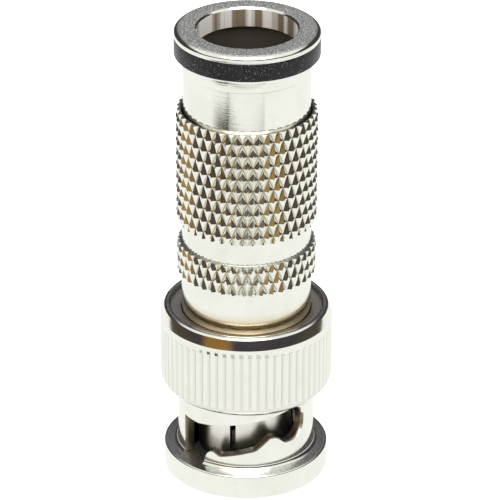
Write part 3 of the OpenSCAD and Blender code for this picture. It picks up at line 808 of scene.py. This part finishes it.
def make_diamond():
    bpy.ops.object.select_all(action="DESELECT")
    bpy.ops.mesh.primitive_circle_add(vertices=8, radius=MM, fill_type="NGON")
    diamond = bpy.context.object
    diamond.name = "knurl_lattice"
    bpy.ops.object.mode_set(mode="EDIT")
    bpy.ops.mesh.select_all(action="SELECT")
    bpy.ops.mesh.inset(thickness=0.4 * MM)
    bpy.ops.object.mode_set(mode="OBJECT")
    ridge_a = math.degrees(ridge / long_band_r)
    tip_a, tip_h = tip * half_pitch, tip * row_h
    beside = [(tip_a, ridge), (ridge_a, tip_h), (-ridge_a, tip_h), (-tip_a, ridge),
        (-tip_a, -ridge), (-ridge_a, -tip_h), (ridge_a, -tip_h), (tip_a, -ridge)]
    corners = [(half_pitch, 0), (0, row_h), (0, row_h), (-half_pitch, 0),
        (-half_pitch, 0), (0, -row_h), (0, -row_h), (half_pitch, 0)]
    by_turn = lambda v: (math.atan2(v.co.y, v.co.x) - 0.001) % math.tau
    on_tip = sorted((v for v in diamond.data.vertices if v.select), key=by_turn)
    at_foot = sorted((v for v in diamond.data.vertices if not v.select), key=by_turn)
    for vertex, place in list(zip(on_tip, beside)) + list(zip(at_foot, corners)):
        vertex.co = on_facet(*place)
    bpy.ops.object.mode_set(mode="EDIT")
    bpy.ops.mesh.select_all(action="SELECT")
    bpy.ops.mesh.remove_doubles(threshold=0.001 * MM)
    bpy.ops.object.mode_set(mode="OBJECT")
    print("one diamond:", len(diamond.data.polygons), "faces")
    return diamond

# %% Repeat the diamond around and along the body, and cut the lattice from the blank
def array_down(piece, count):
    select_only(piece)
    rows = piece.modifiers.new("rows", "ARRAY")
    rows.use_relative_offset = False
    rows.use_constant_offset = True
    rows.constant_offset_displace = (0, 0, -2 * row_h * MM)
    rows.count = count
    bpy.ops.object.modifier_apply(modifier="rows")

lattice = make_diamond()
select_only(lattice)
bpy.ops.object.mode_set(mode="EDIT")
bpy.ops.mesh.select_all(action="SELECT")
bpy.ops.mesh.spin(steps=diamonds - 1, dupli=True, angle=math.tau * (1 - 1 / diamonds),
    center=(0, 0, 0), axis=(0, 0, 1))
bpy.ops.mesh.select_all(action="SELECT")
bpy.ops.mesh.remove_doubles(threshold=0.001 * MM)
bpy.ops.object.mode_set(mode="OBJECT")
bpy.ops.object.duplicate()
half_step = bpy.context.object
half_step.data.transform(
    Matrix.Translation((0, 0, -row_h * MM)) @ Matrix.Rotation(math.radians(half_pitch), 4, "Z"))
array_down(lattice, 9)
array_down(half_step, 8)
bpy.ops.object.select_all(action="DESELECT")
half_step.select_set(True)
lattice.select_set(True)
bpy.context.view_layer.objects.active = lattice
bpy.ops.object.join()

bpy.ops.object.mode_set(mode="EDIT")
bpy.ops.mesh.select_all(action="SELECT")
bpy.ops.mesh.remove_doubles(threshold=0.001 * MM)
bpy.ops.mesh.select_mode(type="EDGE")
bpy.ops.mesh.select_all(action="DESELECT")
bpy.ops.mesh.select_non_manifold()
bpy.ops.mesh.extrude_edges_move()
bpy.ops.transform.resize(value=(1.25, 1.25, 1), center_override=(0, 0, 0))
bpy.ops.mesh.bridge_edge_loops()
bpy.ops.mesh.select_all(action="SELECT")
bpy.ops.mesh.normals_make_consistent(inside=False)
bpy.ops.object.mode_set(mode="OBJECT")
print("lattice:", len(lattice.data.polygons), "faces")

cut_away(knurled_body, lattice)
finish(knurled_body, knurl_nickel, "plug_body", "nickel", "knurled_body", angle=12)

# %% [markdown]
# ## Cable end
#
# The compression sleeve slides down into the body when a cable is fitted. It has a
# thin skirt that closes on the cable, an O-ring in a groove, a plain barrel, a collar,
# and a rounded head. A black band sits under the head.

# %% Compression sleeve
entry_r, skirt_r, barrel_r = 4.12, 4.69, 5.28
band_seat_r, collar_r, head_r = 5.46, 5.50, sleeve_high.x
skirt_z, barrel_z, o_ring_z = sleeve_low.z, 30.6, 31.74
collar_z, plug_top = 37.35, sleeve_high.z
band_z, band_top = band_low.z, band_high.z + 0.02
relief_r, relief_z = 4.5, 32.82
o_groove_r, o_groove_half = 4.53, 0.54
hair_line_z, hair_line_depth = 36.70, 0.012
head_round, land_h = 0.33, 1.72

sleeve = turn_on_lathe("compression_sleeve_turned", soften(
    [(entry_r, skirt_z), (skirt_r - 0.15, skirt_z), (skirt_r, skirt_z + 0.3), (skirt_r, barrel_z - 0.59),
     (barrel_r, barrel_z), (barrel_r, o_ring_z - o_groove_half),
     (o_groove_r, o_ring_z - o_groove_half), (o_groove_r, o_ring_z + o_groove_half),
     (barrel_r, o_ring_z + o_groove_half), (barrel_r, hair_line_z - 0.04),
     (barrel_r - hair_line_depth, hair_line_z), (barrel_r, hair_line_z + 0.04),
     (barrel_r, collar_z), (collar_r, collar_z + 0.15), (collar_r, band_z),
     (band_seat_r, band_z), (band_seat_r, band_top), (head_r, band_top)]
    + arc(band_seat_r, plug_top - head_round, head_r - band_seat_r, head_round, 0, 90, 14)
    + [(entry_r + 0.15, plug_top), (entry_r, plug_top - 0.15), (entry_r, plug_top - land_h),
       (relief_r, plug_top - land_h), (relief_r, relief_z + 0.38), (entry_r, relief_z)], 0.04))
finish(sleeve, nickel, "sleeve", "nickel", "compression_sleeve")
sleeve.data.materials.append(bored_nickel)
for face in sleeve.data.polygons:
    inside = math.hypot(face.center.x, face.center.y) < 4.6 * MM
    face.material_index = 1 if inside and abs(face.normal.z) < 0.5 else 0

# %% Black band, O-ring and grip ring
black_ring = turn_ring("black_ring", band_high.x, band_seat_r + 0.02, band_z, band_high.z, 0.1)
finish(black_ring, black_band, "sleeve", "black_band", "colour_band")

ring_low, ring_high = box_of("sleeve_o_ring")
ring_section = (ring_high.z - ring_low.z) / 2
o_ring = turn_on_lathe("o_ring", arc(ring_high.x - ring_section, (ring_low.z + ring_high.z) / 2,
    ring_section, ring_section, 0, 345, 23))
finish(o_ring, black_rubber, "sleeve", "black_rubber", "sleeve_o_ring", angle=60)

grip_low, grip_high = box_of("grip_ring")
grip_ring = turn_ring("plastic_grip_ring", grip_high.x, grip_high.x - 1, grip_low.z, grip_high.z, 0.12)
finish(grip_ring, cream_plastic, "plug_body", "insulator_cream", "grip_ring")

# %% [markdown]
# ## Table top and light
#
# The plug stands on a white table top. The table shines by itself only in what the
# camera and the metal see, so it stays white there, and the lamps still lay the plug's
# soft shadow on it.

# %% White table top
bpy.ops.object.select_all(action="DESELECT")
bpy.ops.mesh.primitive_circle_add(vertices=96, radius=0.3, fill_type="NGON", location=(0, 0, 0))
table_top = bpy.context.object
table_top.name = "table_top"
white, nodes, links = new_material("table_white")
output = nodes.new("ShaderNodeOutputMaterial")
glow = nodes.new("ShaderNodeEmission")
matt = nodes.new("ShaderNodeBsdfDiffuse")
matt.inputs["Color"].default_value = (0.8, 0.8, 0.8, 1)
place = nodes.new("ShaderNodeTexCoord")
distance = nodes.new("ShaderNodeVectorMath")
distance.operation = "LENGTH"
links.new(place.outputs["Object"], distance.inputs[0])
# No glow under the plug's foot: painted shade there for what the metal inside the plug mirrors.
beside_plug = smooth_step(nodes, links, distance.outputs["Value"], 6.6 * MM, 7.0 * MM)
links.new(beside_plug, glow.inputs["Strength"])
path = nodes.new("ShaderNodeLightPath")
reflected = math_node(nodes, links, "MAXIMUM",
    path.outputs["Is Glossy Ray"], path.outputs["Is Transmission Ray"])
both = nodes.new("ShaderNodeAddShader")
links.new(glow.outputs[0], both.inputs[0])
links.new(matt.outputs[0], both.inputs[1])
seen = nodes.new("ShaderNodeMixShader")
links.new(path.outputs["Is Camera Ray"], seen.inputs[0])
links.new(matt.outputs[0], seen.inputs[1])
links.new(both.outputs[0], seen.inputs[2])
mix = nodes.new("ShaderNodeMixShader")
links.new(reflected, mix.inputs[0])
links.new(seen.outputs[0], mix.inputs[1])
links.new(glow.outputs[0], mix.inputs[2])
links.new(mix.outputs[0], output.inputs[0])
table_top.data.materials.append(white)
print("table top radius 300 mm")

# %% [markdown]
# Bright metal shows the room around it. This room is a dark studio: dark brown near
# the horizon and greyer above, with two warm patches left of the front. A large white
# ceiling panel hangs overhead and reaches lower in front. The world paints it all by
# direction, and the camera itself sees plain white.

# %% The studio around the plug
world = bpy.data.worlds.new("studio")
bpy.context.scene.world = world
world.use_nodes = True
nodes, links = world.node_tree.nodes, world.node_tree.links
nodes.clear()
output = nodes.new("ShaderNodeOutputWorld")
background = nodes.new("ShaderNodeBackground")
links.new(background.outputs[0], output.inputs[0])
direction = nodes.new("ShaderNodeTexCoord")
split = nodes.new("ShaderNodeSeparateXYZ")
links.new(direction.outputs["Generated"], split.inputs[0])

def patch(azimuth, height, wide, soft):
    a, h = math.radians(azimuth), math.radians(height)
    towards = nodes.new("ShaderNodeVectorMath")
    towards.operation = "DOT_PRODUCT"
    towards.inputs[1].default_value = (
        math.cos(h) * math.sin(a), -math.cos(h) * math.cos(a), math.sin(h))
    links.new(direction.outputs["Generated"], towards.inputs[0])
    return smooth_step(nodes, links, towards.outputs["Value"],
        math.cos(math.radians(wide + soft)), math.cos(math.radians(wide)))

dark_brown, dark_grey = (0.075, 0.062, 0.045), (0.05, 0.045, 0.052)
ochre, rust = (0.36, 0.235, 0.085), (0.29, 0.14, 0.03)
panel_white, plain_white = (0.95, 0.95, 0.94), (1.0, 1.0, 1.0)
y, z = split.outputs[1], split.outputs[2]

walls = blend_colour(nodes, links, dark_brown, dark_grey, smooth_step(nodes, links, z, 0.10, 0.2))
walls = blend_colour(nodes, links, walls, ochre, patch(-36, 5, 8, 16))
walls = blend_colour(nodes, links, walls, rust, patch(-40, 26, 6, 20))
to_front = math_node(nodes, links, "MULTIPLY", y, -1.0)
in_front = smooth_step(nodes, links, to_front, -0.3, 0.3)
panel_edge = math_node(nodes, links, "ADD", z, math_node(nodes, links, "MULTIPLY", in_front, 0.2))
panel = smooth_step(nodes, links, panel_edge, 0.6, 0.74)
room = blend_colour(nodes, links, walls, panel_white, panel)
camera_ray = nodes.new("ShaderNodeLightPath").outputs["Is Camera Ray"]
links.new(blend_colour(nodes, links, room, plain_white, camera_ray), background.inputs["Color"])
print("studio painted by direction")

# %% [markdown]
# Low cards stand around the front of the plug, where neither the camera nor the lamps
# notice them. The barrel mirrors them as upright stripes: white and black at the left,
# a soft grey in front, and a thin dark line at its right end.

# %% Low cards that the barrel mirrors
card_distance, card_height = 66, 8

def standing_card(name, left_azimuth, right_azimuth, left_shade, right_shade):
    edges = []
    for azimuth in (left_azimuth, right_azimuth):
        a = math.radians(azimuth)
        edges.append(Vector((card_distance * math.sin(a), -card_distance * math.cos(a), 0)) * MM)
    bpy.ops.object.select_all(action="DESELECT")
    bpy.ops.mesh.primitive_plane_add(size=1)
    card = bpy.context.object
    card.name = name
    lift = Vector((0, 0, card_height * MM))
    corners = [edges[0], edges[1], edges[0] + lift, edges[1] + lift]
    for vertex, spot in zip(card.data.vertices, corners):
        vertex.co = spot
    material, nodes, links = new_material(name)
    output = nodes.new("ShaderNodeOutputMaterial")
    paint = nodes.new("ShaderNodeEmission")
    across = nodes.new("ShaderNodeUVMap")
    across_split = nodes.new("ShaderNodeSeparateXYZ")
    links.new(across.outputs[0], across_split.inputs[0])
    share = smooth_step(nodes, links, across_split.outputs[0], 0.05, 0.6)
    links.new(blend_colour(nodes, links, left_shade, right_shade, share), paint.inputs["Color"])
    links.new(paint.outputs[0], output.inputs[0])
    card.data.materials.append(material)
    card.visible_camera = False
    card.visible_diffuse = False
    card.visible_shadow = False
    print(name, "stands from", left_azimuth, "to", right_azimuth, "degrees")

standing_card("dark_screen", -68, -31, (1.0, 1.0, 1.0), (0.05, 0.045, 0.035))
standing_card("grey_screen", -31, 28.9, (0.45, 0.45, 0.44), (0.74, 0.74, 0.73))
standing_card("thin_stand", 28.9, 29.9, (0.45, 0.45, 0.43), (0.45, 0.45, 0.43))

# %% [markdown]
# Three softboxes light what isn't metal and lay the soft shadow. A fourth lamp shows
# only in the metal: it reaches into the cable bore and sparkles on its rings.

# %% Lamps
def add_lamp(name, place, size, power, in_metal=False):
    bpy.ops.object.select_all(action="DESELECT")
    bpy.ops.object.light_add(type="AREA", location=place)
    lamp = bpy.context.object
    lamp.name = name
    lamp.data.shape = "DISK"
    lamp.data.size = size
    lamp.data.energy = power
    lamp.rotation_euler = (Vector((0, 0, 0.02)) - Vector(place)).to_track_quat("-Z", "Y").to_euler()
    lamp.visible_glossy = in_metal
    lamp.visible_diffuse = not in_metal
    print(name, "at", place)

add_lamp("overhead_sparkle", (0, -0.21, 0.49), 0.5, 1.9, in_metal=True)
add_lamp("left_softbox", (-0.45, -0.25, 0.45), 0.4, 1.6)
add_lamp("right_softbox", (0.45, -0.2, 0.45), 0.4, 1.6)
add_lamp("top_softbox", (0.0, 0.2, 0.6), 0.5, 1.6)
